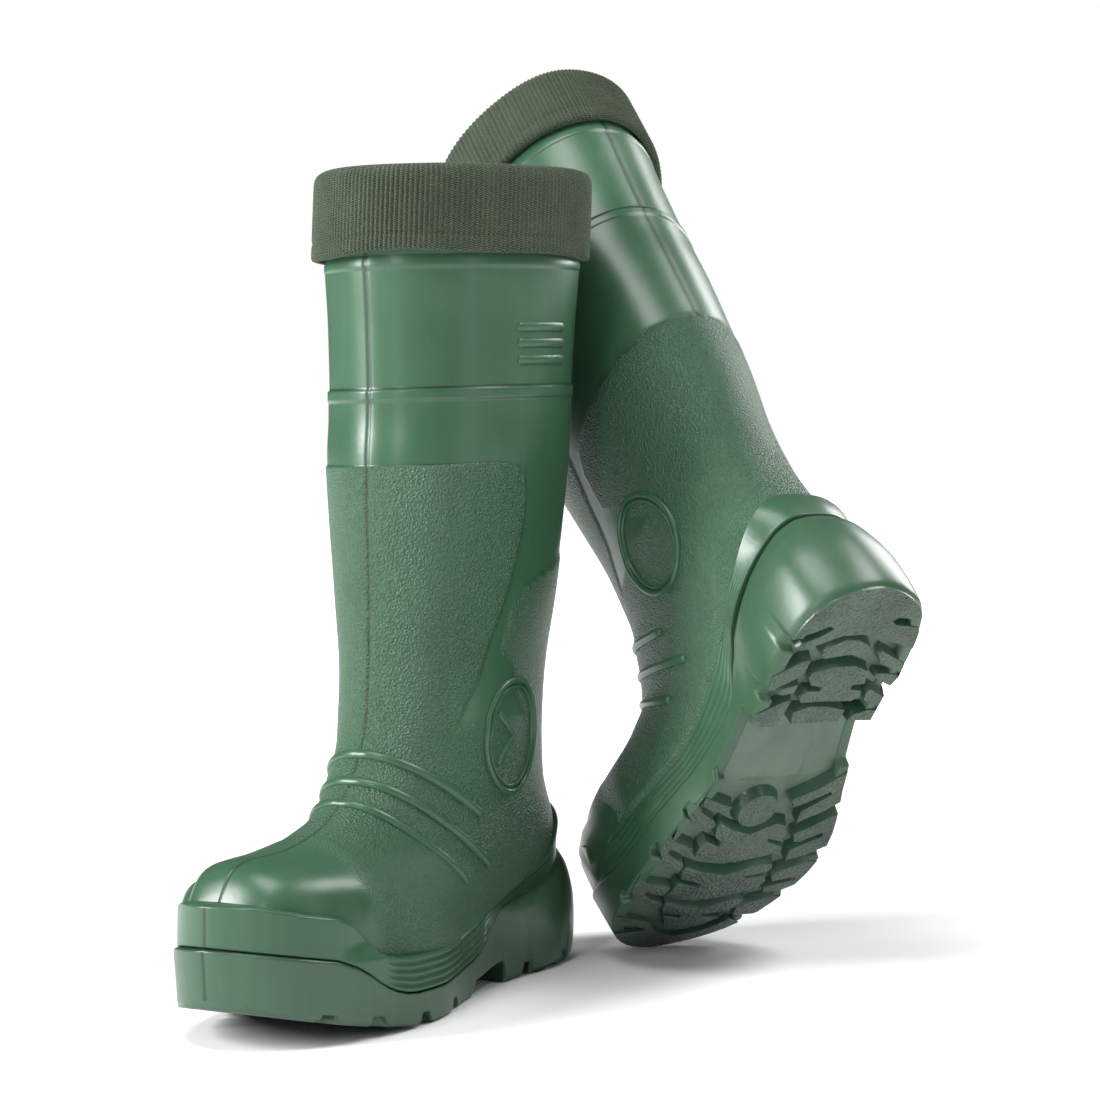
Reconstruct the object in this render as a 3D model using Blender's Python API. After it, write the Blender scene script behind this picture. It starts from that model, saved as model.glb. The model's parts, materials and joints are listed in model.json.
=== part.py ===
"""A pair of insulated hunting boots: moulded foam shells, tread soles and removable felt liners.

The left boot stands on its sole. The right boot is tipped forward on its toe beside it. Both are
built from one boot, described in the boot's own frame: +X to the little-toe side of a left foot,
-Y towards the toe, +Z up, with the origin on the ground below the leg. The right boot is the same
boot mirrored. All lengths are in metres.
"""
import math

import bmesh
import bpy
import numpy as np
from mathutils import Matrix, Vector

# ---------------------------------------------------------------- driving dimensions
SOLE_LENGTH_FRONT = 0.2124      # toe end, measured forward from the boot's origin
SHELL_TOP = 0.440               # upper edge of the foam shell, hidden in the cuff
CUFF_TOP = 0.462
CUFF_HEM = 0.412
LINER_TOP = 0.4355              # where the felt and the pile end and the knit begins

GAP = 0.0004                    # clearance between pieces that touch
SHELL_WALL = 0.0050
FELT_EASE = 0.0013              # the liner is a loose fit, so it can be pulled out to dry
SHELL_FLOOR = 0.0100            # foam under the foot, above the tread unit
INSOLE_THICKNESS = 0.0036
FELT_THICKNESS = 0.0032
PILE_THICKNESS = 0.0036
CUFF_THICKNESS = 0.0056
CUFF_OUTSIDE = 0.0066           # how far the folded cuff stands out from the shell

TOE_SPRING = 0.0215             # height of the tread at the toe end
TOE_SPRING_START = -0.105
LUG_DEPTH = 0.0065
SHELL_SPRING = 0.75             # share of the toe spring that the shell's underside follows
PLATE_SPRING = 0.85             # share that the tread plate follows, so lugs grow shallow
TREAD_TOP = 0.0160              # underside of the foam shell where the sole is flat
HEEL_BREAST = 0.006
ARCH_HOLLOW = 0.0130            # height of the hollow under the arch, at the heel breast
LUG_ROOT = 0.0022               # how far a lug reaches into the tread plate
FOOTBED_CLEARANCE = 0.0026
FOOTBED_INSET = 0.0205          # footbed's edge, in from the sole's outline
FOOTBED_MIDDLE = 0.052
FOOTBED_STRAIGHT = 0.078        # half length before the footbed's ends round off

FRONT_SLANT = 1.12              # a wall's depth measured along the slanted cross sections
SHORTEST_HALF = 0.005           # shorter sections are left out at an inner layer's toe
TOE_WALL = 1.8                  # how far inner layers stop short of the toe, in wall depths
TOE_LEAN = -0.010               # the toe's tip lies towards the big-toe side
TIP_BULGE = 0.0018
LEG_LEAN = 0.117                # backward lean of the leg for each unit of height

RING_POINTS = 16                # corners of each cross section

# Right boot: turned about +Z, then tipped on its toe, then rolled a little to its outer side.
RIGHT_HEADING = math.radians(-114.07)
RIGHT_PITCH = math.radians(51.04)
RIGHT_ROLL = math.radians(-5.97)
RIGHT_PLACE = Vector((0.2075, 0.0637, 0.0))
TOE_CONTACT_HEIGHT = 0.0003     # clearance of the tipped toe above the ground
TIP_AXIS_Y = -0.165             # where the tipping axis crosses the right boot, in its own frame

# Cross sections from the rim down the leg, round the instep and out to the toe. Each has its
# front point (y, z), its back or bottom point (y, z), its half width, and how square it is at
# the front half and at the back half (2 is an ellipse).
STATIONS = [
    # front y,  front z, back y,  back z,  width,  front, back
    (-0.0615, 0.4400, 0.1225, 0.4400, 0.0650, 2.0, 2.0),
    (-0.0605, 0.4047, 0.1183, 0.4047, 0.0644, 2.0, 2.0),
    (-0.0610, 0.3318, 0.1063, 0.3318, 0.0627, 2.0, 2.0),
    (-0.0655, 0.2957, 0.1025, 0.2957, 0.0626, 2.0, 2.0),
    (-0.0672, 0.2255, 0.0920, 0.2255, 0.0555, 2.0, 2.0),
    (-0.0695, 0.1850, 0.0805, 0.1780, 0.0492, 2.0, 2.1),
    (-0.0735, 0.1550, 0.0745, 0.1420, 0.0462, 2.1, 2.3),
    (-0.0790, 0.1410, 0.0745, 0.1120, 0.0440, 2.1, 2.5),
    (-0.0850, 0.1305, 0.0900, 0.0985, 0.0438, 2.2, 2.8),
    (-0.0925, 0.1205, 0.0940, 0.0780, 0.0440, 2.2, 2.9),
    (-0.1010, 0.1125, 0.0950, 0.0450, 0.0445, 2.2, 3.0),
    (-0.1100, 0.1065, 0.0925, 0.0200, 0.0450, 2.2, 3.6),
    (-0.1200, 0.1018, 0.0650, 0.0160, 0.0455, 2.3, 12.0),
    (-0.1340, 0.0973, 0.0150, 0.0160, 0.0470, 2.3, 14.0),
    (-0.1520, 0.0938, -0.0550, 0.0160, 0.0535, 2.4, 14.0),
    (-0.1720, 0.0927, -0.1150, 0.0160, 0.0585, 2.4, 12.0),
    (-0.1880, 0.0915, -0.1600, 0.0170, 0.0545, 2.4, 9.0),
    (-0.2000, 0.0860, -0.1880, 0.0215, 0.0440, 2.3, 4.5),
    (-0.2065, 0.0740, -0.2030, 0.0250, 0.0310, 2.2, 3.2),
    (-0.2105, 0.0610, -0.2095, 0.0300, 0.0170, 2.0, 2.4),
]

# Outline of the sole seen from above: (x, y) round a left foot from the heel's middle.
SOLE_OUTLINE = [
    (0.000, 0.095), (0.034, 0.080), (0.044, 0.045), (0.041, 0.005), (0.046, -0.047),
    (0.060, -0.098), (0.057, -0.145), (0.035, -0.192), (-0.010, -0.2124), (-0.045, -0.192),
    (-0.060, -0.145), (-0.058, -0.103), (-0.044, -0.051), (-0.040, 0.005), (-0.043, 0.045),
    (-0.033, 0.080),
]
SOLE_STEPS = 4                  # outline corners made between two of those points

# Tread lugs seen from above, as corners (towards the big-toe side, y).
LUGS = [
    # heel: outer side, middle and inner side
    [(-0.043, 0.038), (-0.023, 0.049), (-0.025, 0.037), (-0.028, 0.029), (-0.043, 0.023)],
    [(-0.041, 0.017), (-0.027, 0.023), (-0.024, 0.007), (-0.039, 0.007)],
    [(-0.014, 0.045), (-0.006, 0.054), (0.006, 0.054), (0.012, 0.045)],
    [(-0.019, 0.036), (-0.003, 0.041), (0.017, 0.036), (0.017, 0.020), (-0.020, 0.020)],
    [(-0.019, 0.016), (0.017, 0.016), (0.017, 0.007), (-0.019, 0.007)],
    [(0.022, 0.046), (0.041, 0.036), (0.041, 0.023), (0.023, 0.026)],
    [(0.022, 0.022), (0.040, 0.019), (0.038, 0.007), (0.022, 0.007)],
    # forefoot: outer side
    [(-0.044, -0.045), (-0.010, -0.061), (-0.024, -0.084), (-0.053, -0.066)],
    [(-0.055, -0.075), (-0.030, -0.091), (-0.036, -0.116), (-0.058, -0.106)],
    [(-0.058, -0.114), (-0.033, -0.125), (-0.037, -0.148), (-0.055, -0.143)],
    [(-0.054, -0.151), (-0.032, -0.158), (-0.036, -0.168), (-0.049, -0.167)],
    # forefoot: middle
    [(-0.015, -0.092), (0.000, -0.096), (0.026, -0.090), (0.030, -0.100), (0.027, -0.111),
     (0.000, -0.114), (-0.023, -0.108)],
    [(-0.028, -0.117), (0.000, -0.121), (0.031, -0.116), (0.032, -0.128), (0.027, -0.146),
     (0.000, -0.150), (-0.027, -0.147), (-0.030, -0.130)],
    [(-0.027, -0.153), (0.000, -0.157), (0.028, -0.153), (0.027, -0.165), (0.019, -0.181),
     (0.000, -0.187), (-0.018, -0.181), (-0.027, -0.166)],
    # forefoot: inner side
    [(0.024, -0.066), (0.044, -0.054), (0.052, -0.074), (0.040, -0.093), (0.035, -0.084)],
    [(0.038, -0.098), (0.054, -0.086), (0.057, -0.105), (0.040, -0.126)],
    [(0.040, -0.131), (0.057, -0.115), (0.055, -0.140), (0.036, -0.155)],
    [(0.036, -0.160), (0.053, -0.147), (0.049, -0.165), (0.034, -0.168)],
]
HEEL_PAD_FRONT = [(-0.040, 0.051), (-0.026, 0.057), (-0.012, 0.060), (0.012, 0.060),
                  (0.026, 0.055), (0.040, 0.050)]
TOE_PAD_BACK = [(0.040, -0.173), (0.029, -0.174), (0.021, -0.188), (0.000, -0.195),
                (-0.021, -0.189), (-0.029, -0.175), (-0.040, -0.174)]
ROUND_LUG = ((0.0035, -0.073), 0.0135)


# ---------------------------------------------------------------- scene and materials
def clear_scene():
    for obj in list(bpy.data.objects):
        bpy.data.objects.remove(obj, do_unlink=True)


def new_collection(name):
    collection = bpy.data.collections.new(name)
    bpy.context.scene.collection.children.link(collection)
    return collection


def material(name, colour, roughness, metallic=0.0):
    mat = bpy.data.materials.new(name)
    mat.use_nodes = True
    shader = mat.node_tree.nodes["Principled BSDF"]
    shader.inputs["Base Color"].default_value = (*colour, 1.0)
    shader.inputs["Roughness"].default_value = roughness
    shader.inputs["Metallic"].default_value = metallic
    return mat


# ---------------------------------------------------------------- curves and sections
def catmull_rom(before, start, end, after, t):
    """A point between start and end on a smooth curve through all four."""
    return 0.5 * (
        2 * start
        + (end - before) * t
        + (2 * before - 5 * start + 4 * end - after) * t ** 2
        + (3 * start - before - 3 * end + after) * t ** 3
    )


def sole_outline():
    """Points of the sole's outline, going from the heel's middle to the little-toe side."""
    knots = np.array(SOLE_OUTLINE)
    count = len(knots)
    points = []
    for i in range(count):
        around = [knots[(i + k) % count] for k in (-1, 0, 1, 2)]
        points += [catmull_rom(*around, step / SOLE_STEPS) for step in range(SOLE_STEPS)]
    return np.array(points)


OUTLINE = sole_outline()


def outline_sides(y):
    """Where the sole's outline lies at y: the outer side's x and the inner side's x."""
    toe = int(np.argmin(OUTLINE[:, 1]))
    outer, inner = OUTLINE[: toe + 1], np.vstack([OUTLINE[toe:], OUTLINE[:1]])
    return (float(np.interp(-y, -outer[:, 1], outer[:, 0])),
            float(np.interp(y, inner[:, 1], inner[:, 0])))


def toe_spring(y):
    """Height of the tread's underside above the ground towards the toe."""
    reach = (TOE_SPRING_START - y) / (TOE_SPRING_START + SOLE_LENGTH_FRONT)
    return TOE_SPRING * min(max(reach, 0.0), 1.0) ** 1.6


def shell_underside(y):
    """Height of the joint between the foam shell and the tread unit."""
    return TREAD_TOP + SHELL_SPRING * toe_spring(y)


def smoothstep(low, high, value):
    t = min(max((value - low) / (high - low), 0.0), 1.0)
    return t * t * (3 - 2 * t)


def on_superellipse(angle, front_power, back_power):
    """(along, across) at an angle on a section with half length and half width of one."""
    along, across = -math.cos(angle), math.sin(angle)
    power = front_power if along < 0 else back_power
    size = (abs(along) ** power + abs(across) ** power) ** (-1 / power)
    return along * size, across * size


def section(station, wall, floor):
    """Corners of one cross section, moved in by wall at the sides and floor at the bottom."""
    front_y, front_z, back_y, back_z, width, front_power, back_power = station
    front, back = np.array([front_y, front_z]), np.array([back_y, back_z])
    direction = (back - front) / np.linalg.norm(back - front)
    steep = max(abs(direction[1]), 0.05)
    floor_y = back_y
    for _ in range(6):
        lift = shell_underside(floor_y) + GAP + floor - back_z
        floor_y = back_y - direction[0] * max(lift, 0.0) / steep
    half_length = np.linalg.norm(back - front) / 2
    middle = (front + back) / 2
    front_half = half_length - wall * FRONT_SLANT
    back_half = half_length - max(wall / max(abs(direction[0]), 0.6), lift / steep)
    if min(front_half, back_half) < SHORTEST_HALF:
        return None
    toe_share = smoothstep(-0.110, -0.205, front_y)
    points = []
    for k in range(RING_POINTS):
        angle = 2 * math.pi * k / RING_POINTS
        along, across = on_superellipse(angle, front_power, back_power)
        y, z = middle + direction * along * (front_half if along < 0 else back_half)
        sides = outline_sides(y)
        sole_width = abs(sides[0] if across > 0 else sides[1])
        low = smoothstep(0.105, 0.045, z) * smoothstep(-0.199, -0.185, y)
        half = (1 - low) * (width - wall) + low * (sole_width - wall)
        x = half * across + TOE_LEAN * toe_share ** 2
        points.append(Vector((x, y + TOE_WALL * wall * toe_share, z)))
    return points


# ---------------------------------------------------------------- building meshes
def add_ring(mesh, points):
    return [mesh.verts.new(point) for point in points]


def skin(mesh, rings):
    """Quads between rings that follow each other."""
    for first, second in zip(rings, rings[1:]):
        for k in range(len(first)):
            following = (k + 1) % len(first)
            mesh.faces.new([first[k], first[following], second[following], second[k]])


def close_end(mesh, ring, apex):
    tip = mesh.verts.new(apex)
    for k in range(len(ring)):
        mesh.faces.new([ring[k], ring[(k + 1) % len(ring)], tip])


def finish_mesh(mesh, name):
    bmesh.ops.recalc_face_normals(mesh, faces=mesh.faces)
    if mesh.calc_volume(signed=True) < 0:
        bmesh.ops.reverse_faces(mesh, faces=mesh.faces)
    data = bpy.data.meshes.new(name)
    mesh.to_mesh(data)
    mesh.free()
    data.shade_smooth()
    data.set_sharp_from_angle(angle=math.radians(35))
    return data


# ---------------------------------------------------------------- the boot's pieces
def sock_mesh(name, outside, inside, top):
    """A foot-shaped wall between two depths below the boot's surface, open at the top.

    outside and inside are (wall, floor) depths: how far in that side of the wall lies.
    """
    mesh = bmesh.new()
    mouths = []
    for wall, floor in (outside, inside):
        rings = []
        for station in STATIONS:
            if station[1] > top:
                station = (station[0], top, station[2], top) + station[4:]
            points = section(station, wall, floor)
            if points:
                rings.append(add_ring(mesh, points))
        middle = sum((corner.co for corner in rings[-1]), Vector()) / RING_POINTS
        skin(mesh, rings)
        close_end(mesh, rings[-1], middle + Vector((0, -TIP_BULGE, 0)))
        mouths.append(rings[0])
    skin(mesh, mouths)
    return finish_mesh(mesh, name)


def cuff_mesh(name):
    """The knitted cuff: up from the liner, over the shell's edge and down outside it."""
    rim = STATIONS[0]
    middle_y, half = (rim[0] + rim[2]) / 2, (rim[2] - rim[0]) / 2
    outer, inner = CUFF_OUTSIDE, -SHELL_WALL * FRONT_SLANT - FELT_EASE - CUFF_THICKNESS
    knit, fold = CUFF_THICKNESS, 0.006
    profile = [
        (outer, CUFF_HEM), (outer, CUFF_TOP - fold), (outer - fold / 3, CUFF_TOP - fold / 3),
        (outer - fold, CUFF_TOP), (inner + fold, CUFF_TOP), (inner + fold / 3, CUFF_TOP - fold / 3),
        (inner, CUFF_TOP - fold), (inner, LINER_TOP + GAP), (inner + knit, LINER_TOP + GAP),
        (inner + knit, CUFF_TOP - knit), (outer - knit, CUFF_TOP - knit), (outer - knit, CUFF_HEM),
    ]
    mesh = bmesh.new()
    rings = []
    for k in range(RING_POINTS):
        angle = 2 * math.pi * k / RING_POINTS
        rings.append(add_ring(mesh, [
            Vector((math.sin(angle) * (rim[4] + out),
                    middle_y - math.cos(angle) * (half + out) + LEG_LEAN * (z - SHELL_TOP), z))
            for out, z in profile]))
    skin(mesh, rings + rings[:1])
    return finish_mesh(mesh, name)


def pad_mesh(name, y_values, inset, low_at, high_at):
    """A pad across the whole sole, inset from its outline: a rectangle at each y."""
    mesh = bmesh.new()
    rings = []
    for y in y_values:
        outer, inner = outline_sides(y)
        outer, inner = outer - inset(y), inner + inset(y)
        corners = [(outer, low_at(y)), (outer, high_at(y)), (inner, high_at(y)), (inner, low_at(y))]
        rings.append(add_ring(mesh, [Vector((x, y, z)) for x, z in corners]))
    skin(mesh, rings)
    mesh.faces.new(rings[0])
    mesh.faces.new(rings[-1])
    return finish_mesh(mesh, name)


def insole_mesh(name):
    """The loose footbed on the shell's floor, narrowed at both ends."""
    def floor(y):
        return shell_underside(y) + 2 * GAP + SHELL_FLOOR + FOOTBED_CLEARANCE

    def inset(y):
        rounding = max(0.0, abs(y + FOOTBED_MIDDLE) - FOOTBED_STRAIGHT) / 0.020
        return FOOTBED_INSET + 0.006 * rounding ** 2

    y_values = [0.050, 0.040, 0.020, -0.020, -0.055, -0.090, -0.115, -0.132, -0.144]
    return pad_mesh(name, y_values, inset, floor, lambda y: floor(y) + INSOLE_THICKNESS)


def tread_base(y):
    """Underside of the tread plate between its lugs, raised to a hollow under the arch."""
    if y > HEEL_BREAST:
        return LUG_DEPTH
    hollow = smoothstep(-0.055, HEEL_BREAST, y)
    return LUG_DEPTH + (ARCH_HOLLOW - LUG_DEPTH) * hollow + PLATE_SPRING * toe_spring(y)


def tread_mesh(name):
    y_values = [0.0945, 0.088, 0.078, 0.060, 0.035, 0.0065, 0.0055, -0.004, -0.015, -0.030, -0.055,
                -0.080, -0.105, -0.130, -0.155, -0.175, -0.192, -0.203, -0.2095]
    return pad_mesh(name, y_values, lambda y: 0.0006, tread_base, shell_underside)


def heel_pad_corners():
    """The crescent at the back of the heel: the sole's outline and an arched front edge."""
    back = [(x, y) for x, y in OUTLINE if y > 0.053]
    back.sort(key=lambda point: point[0])
    edge = [(-x * 0.97, y - 0.002) for x, y in back]
    return edge[::-1] + [(-x, y) for x, y in HEEL_PAD_FRONT]


def toe_pad_corners():
    """The crescent under the toe: the sole's outline and an arched back edge."""
    front = [(x, y) for x, y in OUTLINE if y < -0.170]
    front.sort(key=lambda point: point[0])
    edge = [(-x * 0.97, y + 0.002) for x, y in front]
    return edge + TOE_PAD_BACK[::-1]


def add_lug(mesh, corners):
    """One lug: an upright prism whose face follows the toe spring and whose root is in the plate."""
    face = mesh.faces.new([mesh.verts.new((-inner, y, toe_spring(y))) for inner, y in corners])
    raised = bmesh.ops.extrude_face_region(mesh, geom=[face])["geom"]
    for corner in raised:
        if isinstance(corner, bmesh.types.BMVert):
            corner.co.z = tread_base(corner.co.y) + LUG_ROOT


def lug_mesh(name):
    mesh = bmesh.new()
    for corners in LUGS:
        add_lug(mesh, corners)
    add_lug(mesh, heel_pad_corners())
    add_lug(mesh, toe_pad_corners())
    middle, radius = ROUND_LUG
    add_lug(mesh, [(middle[0] + radius * math.cos(k * math.pi / 6),
                    middle[1] + radius * math.sin(k * math.pi / 6)) for k in range(12)])
    return finish_mesh(mesh, name)


# ---------------------------------------------------------------- assembling the pair
def pieces_of_a_boot():
    """(piece, mesh maker) for every sub-part, all in the left boot's own frame."""
    felt = SHELL_WALL + FELT_EASE, SHELL_FLOOR + INSOLE_THICKNESS + FOOTBED_CLEARANCE + 3 * GAP
    pile = felt[0] + FELT_THICKNESS + GAP, felt[1] + FELT_THICKNESS + GAP
    skin_side = pile[0] + PILE_THICKNESS, pile[1] + PILE_THICKNESS
    return [
        ("shell", sock_mesh("shell", (0, 0), (SHELL_WALL, SHELL_FLOOR), SHELL_TOP)),
        ("outsole", tread_mesh("outsole")),
        ("insole", insole_mesh("insole")),
        ("liner_felt", sock_mesh("liner_felt", felt, (pile[0] - GAP, pile[1] - GAP), LINER_TOP)),
        ("liner_pile", sock_mesh("liner_pile", pile, skin_side, LINER_TOP)),
        ("liner_cuff", cuff_mesh("liner_cuff")),
    ]


def mirrored(data, name):
    """The same mesh for the other foot, still facing outward."""
    mesh = bmesh.new()
    mesh.from_mesh(data)
    bmesh.ops.scale(mesh, vec=(-1, 1, 1), verts=mesh.verts)
    bmesh.ops.reverse_faces(mesh, faces=mesh.faces)
    flipped = bpy.data.meshes.new(name)
    mesh.to_mesh(flipped)
    mesh.free()
    return flipped


def add_object(name, data, collection, parent, offset, mat=None):
    obj = bpy.data.objects.new(name, data)
    collection.objects.link(obj)
    obj.parent = parent
    obj.location = offset
    if mat:
        data.materials.clear()
        data.materials.append(mat)
    return obj


def add_empty(name, collection, parent, matrix):
    empty = bpy.data.objects.new(name, None)
    collection.objects.link(empty)
    empty.parent = parent
    empty.matrix_local = matrix
    return empty


def right_boot_matrix(corners):
    """The tipped boot's place and turn, with its lowest corner just clear of the ground."""
    turn = (Matrix.Rotation(RIGHT_HEADING, 4, "Z") @ Matrix.Rotation(RIGHT_PITCH, 4, "X")
            @ Matrix.Rotation(RIGHT_ROLL, 4, "Y"))
    lowest = min((turn @ corner).z for corner in corners)
    height = Vector((0, 0, TOE_CONTACT_HEIGHT - lowest))
    return Matrix.Translation(RIGHT_PLACE + height) @ turn


def tip_axis_point(matrix):
    """Point on the tipping axis, as high above the boot's own ground plane as above the real one."""
    base = matrix @ Vector((0, TIP_AXIS_Y, 0))
    rise = (matrix.to_3x3() @ Vector((0, 0, 1))).z
    return Vector((0, TIP_AXIS_Y, base.z / (1 - rise)))


def main():
    clear_scene()
    boots, cutters = new_collection("hunting_boots"), new_collection("cutters")
    finishes = {
        "shell": material("moulded_foam", (0.075, 0.185, 0.095), 0.38),
        "outsole": material("tread_rubber", (0.085, 0.125, 0.100), 0.62),
        "insole": material("footbed_felt", (0.32, 0.31, 0.29), 0.95),
        "liner_felt": material("liner_felt", (0.20, 0.20, 0.19), 0.95),
        "liner_pile": material("liner_pile", (0.10, 0.12, 0.10), 0.98),
        "liner_cuff": material("cuff_knit", (0.035, 0.055, 0.030), 0.92),
    }
    left = pieces_of_a_boot()
    left_lugs = lug_mesh("lugs")
    right_lugs = mirrored(left_lugs, "lugs_right")
    everything = [corner.co.copy() for _, data in left for corner in data.vertices]
    everything += [corner.co.copy() for corner in left_lugs.vertices]
    mirrored_corners = [Vector((-c.x, c.y, c.z)) for c in everything]
    right_matrix = right_boot_matrix(mirrored_corners)
    axis_point = tip_axis_point(right_matrix)

    placed = everything + [right_matrix @ corner for corner in mirrored_corners]
    low_x, high_x = min(p.x for p in placed), max(p.x for p in placed)
    low_y, high_y = min(p.y for p in placed), max(p.y for p in placed)
    low_z = min(p.z for p in placed)
    middle = Vector(((low_x + high_x) / 2, (low_y + high_y) / 2, low_z))

    left_frame = add_empty("left_boot_frame", boots, None, Matrix.Translation(-middle))
    right_frame = add_empty(
        "right_boot_frame", boots, None,
        Matrix.Translation(-middle) @ right_matrix @ Matrix.Translation(axis_point))
    sides = (("left", left_frame, Vector()), ("right", right_frame, -axis_point))
    for side, frame, offset in sides:
        for piece, data in left:
            name = f"{side}_{piece}"
            own = data if side == "left" else mirrored(data, name)
            obj = add_object(name, own, boots, frame, offset, finishes[piece])
            if piece != "outsole":
                continue
            lugs = add_object(f"{side}_lugs", left_lugs if side == "left" else right_lugs,
                              cutters, frame, offset)
            lugs.hide_render = True
            lugs.display_type = "WIRE"
            joined = obj.modifiers.new("lugs", "BOOLEAN")
            joined.operation = "UNION"
            joined.object = lugs
            joined.use_self = True


if __name__ == "__main__":
    main()
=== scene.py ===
# %% [markdown]
# # A pair of insulated hunting boots
# Each boot is a moulded foam shell on a lugged sole, with a felt and pile liner whose knitted top
# folds down over the shell as a cuff. The solid parts come in first, as a fixed frame. Every piece
# made here is laid over them, so the frame's own boxes and joint say where things go.

import json
import math

import bmesh
import bpy
import numpy as np
from mathutils import Matrix, Vector
from mathutils.bvhtree import BVHTree


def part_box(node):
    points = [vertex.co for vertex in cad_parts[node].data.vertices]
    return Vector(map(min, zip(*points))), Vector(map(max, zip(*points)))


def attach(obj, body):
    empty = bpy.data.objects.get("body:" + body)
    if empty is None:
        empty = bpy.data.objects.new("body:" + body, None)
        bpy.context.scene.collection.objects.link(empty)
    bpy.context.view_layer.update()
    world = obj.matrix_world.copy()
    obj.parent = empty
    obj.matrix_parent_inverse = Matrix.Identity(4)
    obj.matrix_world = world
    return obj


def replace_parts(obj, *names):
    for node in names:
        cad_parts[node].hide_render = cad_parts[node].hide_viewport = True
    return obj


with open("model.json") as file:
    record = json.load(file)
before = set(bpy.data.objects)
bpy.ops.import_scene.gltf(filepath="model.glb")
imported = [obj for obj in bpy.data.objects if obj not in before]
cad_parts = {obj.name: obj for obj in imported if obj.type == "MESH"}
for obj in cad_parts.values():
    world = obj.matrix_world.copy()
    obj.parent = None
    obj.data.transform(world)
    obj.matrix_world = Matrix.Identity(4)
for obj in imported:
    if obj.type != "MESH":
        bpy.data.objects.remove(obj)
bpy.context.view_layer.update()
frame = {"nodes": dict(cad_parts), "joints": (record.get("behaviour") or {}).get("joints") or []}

# %% [markdown]
# ## Where the two boots stand
# A boot is easiest to shape in its own frame: the origin on the ground under the leg, +X to the
# little toe of a left foot, -Y to the toe and +Z up. The left boot only needs moving. The right boot
# is the same shape mirrored, then turned and tipped on its toe, and its place is read from the joint.

# %% places of the boots
HEEL_END = 0.0945                 # back of the sole in the boot's own frame
TIP_AXIS_Y = -0.165               # where the tipping axis crosses the right boot
HEADING, PITCH, ROLL = math.radians(-114.07), math.radians(51.04), math.radians(-5.97)
sole_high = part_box("left_outsole")[1]
cuff_low, cuff_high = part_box("left_liner_cuff")
left_origin = np.array([(cuff_low.x + cuff_high.x) / 2, sole_high.y - HEEL_END, 0.0])
pivot = np.array(frame["joints"][0]["pos_m"])
right_turn = np.array(Matrix.Rotation(HEADING, 3, "Z") @ Matrix.Rotation(PITCH, 3, "X")
                      @ Matrix.Rotation(ROLL, 3, "Y"))
right_origin = pivot - right_turn @ np.array([0, TIP_AXIS_Y, pivot[2]])
print("left boot at", left_origin.round(4), "right boot at", right_origin.round(4))


def stand(points, side):
    """Points of the boot's own frame, put where that side's boot is."""
    if side == "left":
        return points + left_origin
    return (points * (-1, 1, 1)) @ right_turn.T + right_origin


# %% [markdown]
# ## The boot's surface as a family of sections
# A boot turns from an upright leg into a foot that lies flat. Slicing it with planes that fan out
# from the top of the instep gives one closed ring after another, all the way to the toe. Each ring
# has a front point, a back or bottom point and a width, and a smooth curve runs through those
# numbers, so that the surface can be made as fine as a detail needs.

# %% smooth curves and steps
def smooth(low, high, value):
    """0 below low, 1 above high, and a soft step between."""
    t = np.clip((value - low) / (high - low), 0, 1)
    return t * t * (3 - 2 * t)


def bump(value, middle, half):
    """A soft ridge of height 1 around middle."""
    return 1 - smooth(0, half, np.abs(value - middle))


def through(knots, at, closed=False):
    """Points at fractional places along a smooth curve through the knots."""
    knots = np.asarray(knots, float)
    count = len(knots)
    start = np.clip(np.floor(at).astype(int), 0, count - 1 if closed else count - 2)
    t = (at - start)[:, None]
    rows = [start - 1, start, start + 1, start + 2]
    rows = [row % count if closed else np.clip(row, 0, count - 1) for row in rows]
    a, b, c, d = (knots[row] for row in rows)
    return 0.5 * (2 * b + (c - a) * t + (2 * a - 5 * b + 4 * c - d) * t ** 2
                  + (3 * b - a - 3 * c + d) * t ** 3)


# %% sections of the leg and the foot
# Each row is front y and z, back y and z, half width, squareness in front and behind.
LEG = [
    (-0.0615, 0.4400, 0.1225, 0.4400, 0.0650, 2.0, 2.0),
    (-0.0605, 0.4047, 0.1183, 0.4047, 0.0644, 2.0, 2.0),
    (-0.0610, 0.3318, 0.1063, 0.3318, 0.0627, 2.0, 2.0),
    (-0.0655, 0.2957, 0.1025, 0.2957, 0.0626, 2.0, 2.0),
    (-0.0672, 0.2255, 0.0920, 0.2255, 0.0555, 2.0, 2.0),
    (-0.0695, 0.1850, 0.0805, 0.1780, 0.0492, 2.0, 2.1),
    (-0.0735, 0.1550, 0.0745, 0.1420, 0.0462, 2.1, 2.3),
    (-0.0790, 0.1410, 0.0745, 0.1120, 0.0440, 2.1, 2.5),
]
FOOT_MIDDLE = [
    (-0.1200, 0.1018, 0.0650, 0.0160, 0.0455, 2.3, 12.0),
    (-0.1340, 0.0973, 0.0150, 0.0160, 0.0470, 2.3, 14.0),
    (-0.1520, 0.0938, -0.0550, 0.0160, 0.0535, 2.4, 14.0),
    (-0.1720, 0.0927, -0.1150, 0.0160, 0.0585, 2.4, 12.0),
]
WITH_LEDGE = LEG + [
    (-0.0850, 0.1305, 0.0900, 0.0985, 0.0438, 2.2, 2.8),
    (-0.0925, 0.1205, 0.0940, 0.0780, 0.0440, 2.2, 2.9),
    (-0.1010, 0.1125, 0.0950, 0.0450, 0.0445, 2.2, 3.0),
    (-0.1100, 0.1065, 0.0925, 0.0200, 0.0450, 2.2, 3.6),
] + FOOT_MIDDLE + [
    (-0.1880, 0.0915, -0.1600, 0.0170, 0.0545, 2.4, 9.0),
    (-0.2000, 0.0860, -0.1880, 0.0215, 0.0440, 2.3, 4.5),
    (-0.2065, 0.0740, -0.2030, 0.0250, 0.0310, 2.2, 3.2),
    (-0.2105, 0.0610, -0.2095, 0.0300, 0.0170, 2.0, 2.4),
]
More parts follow.
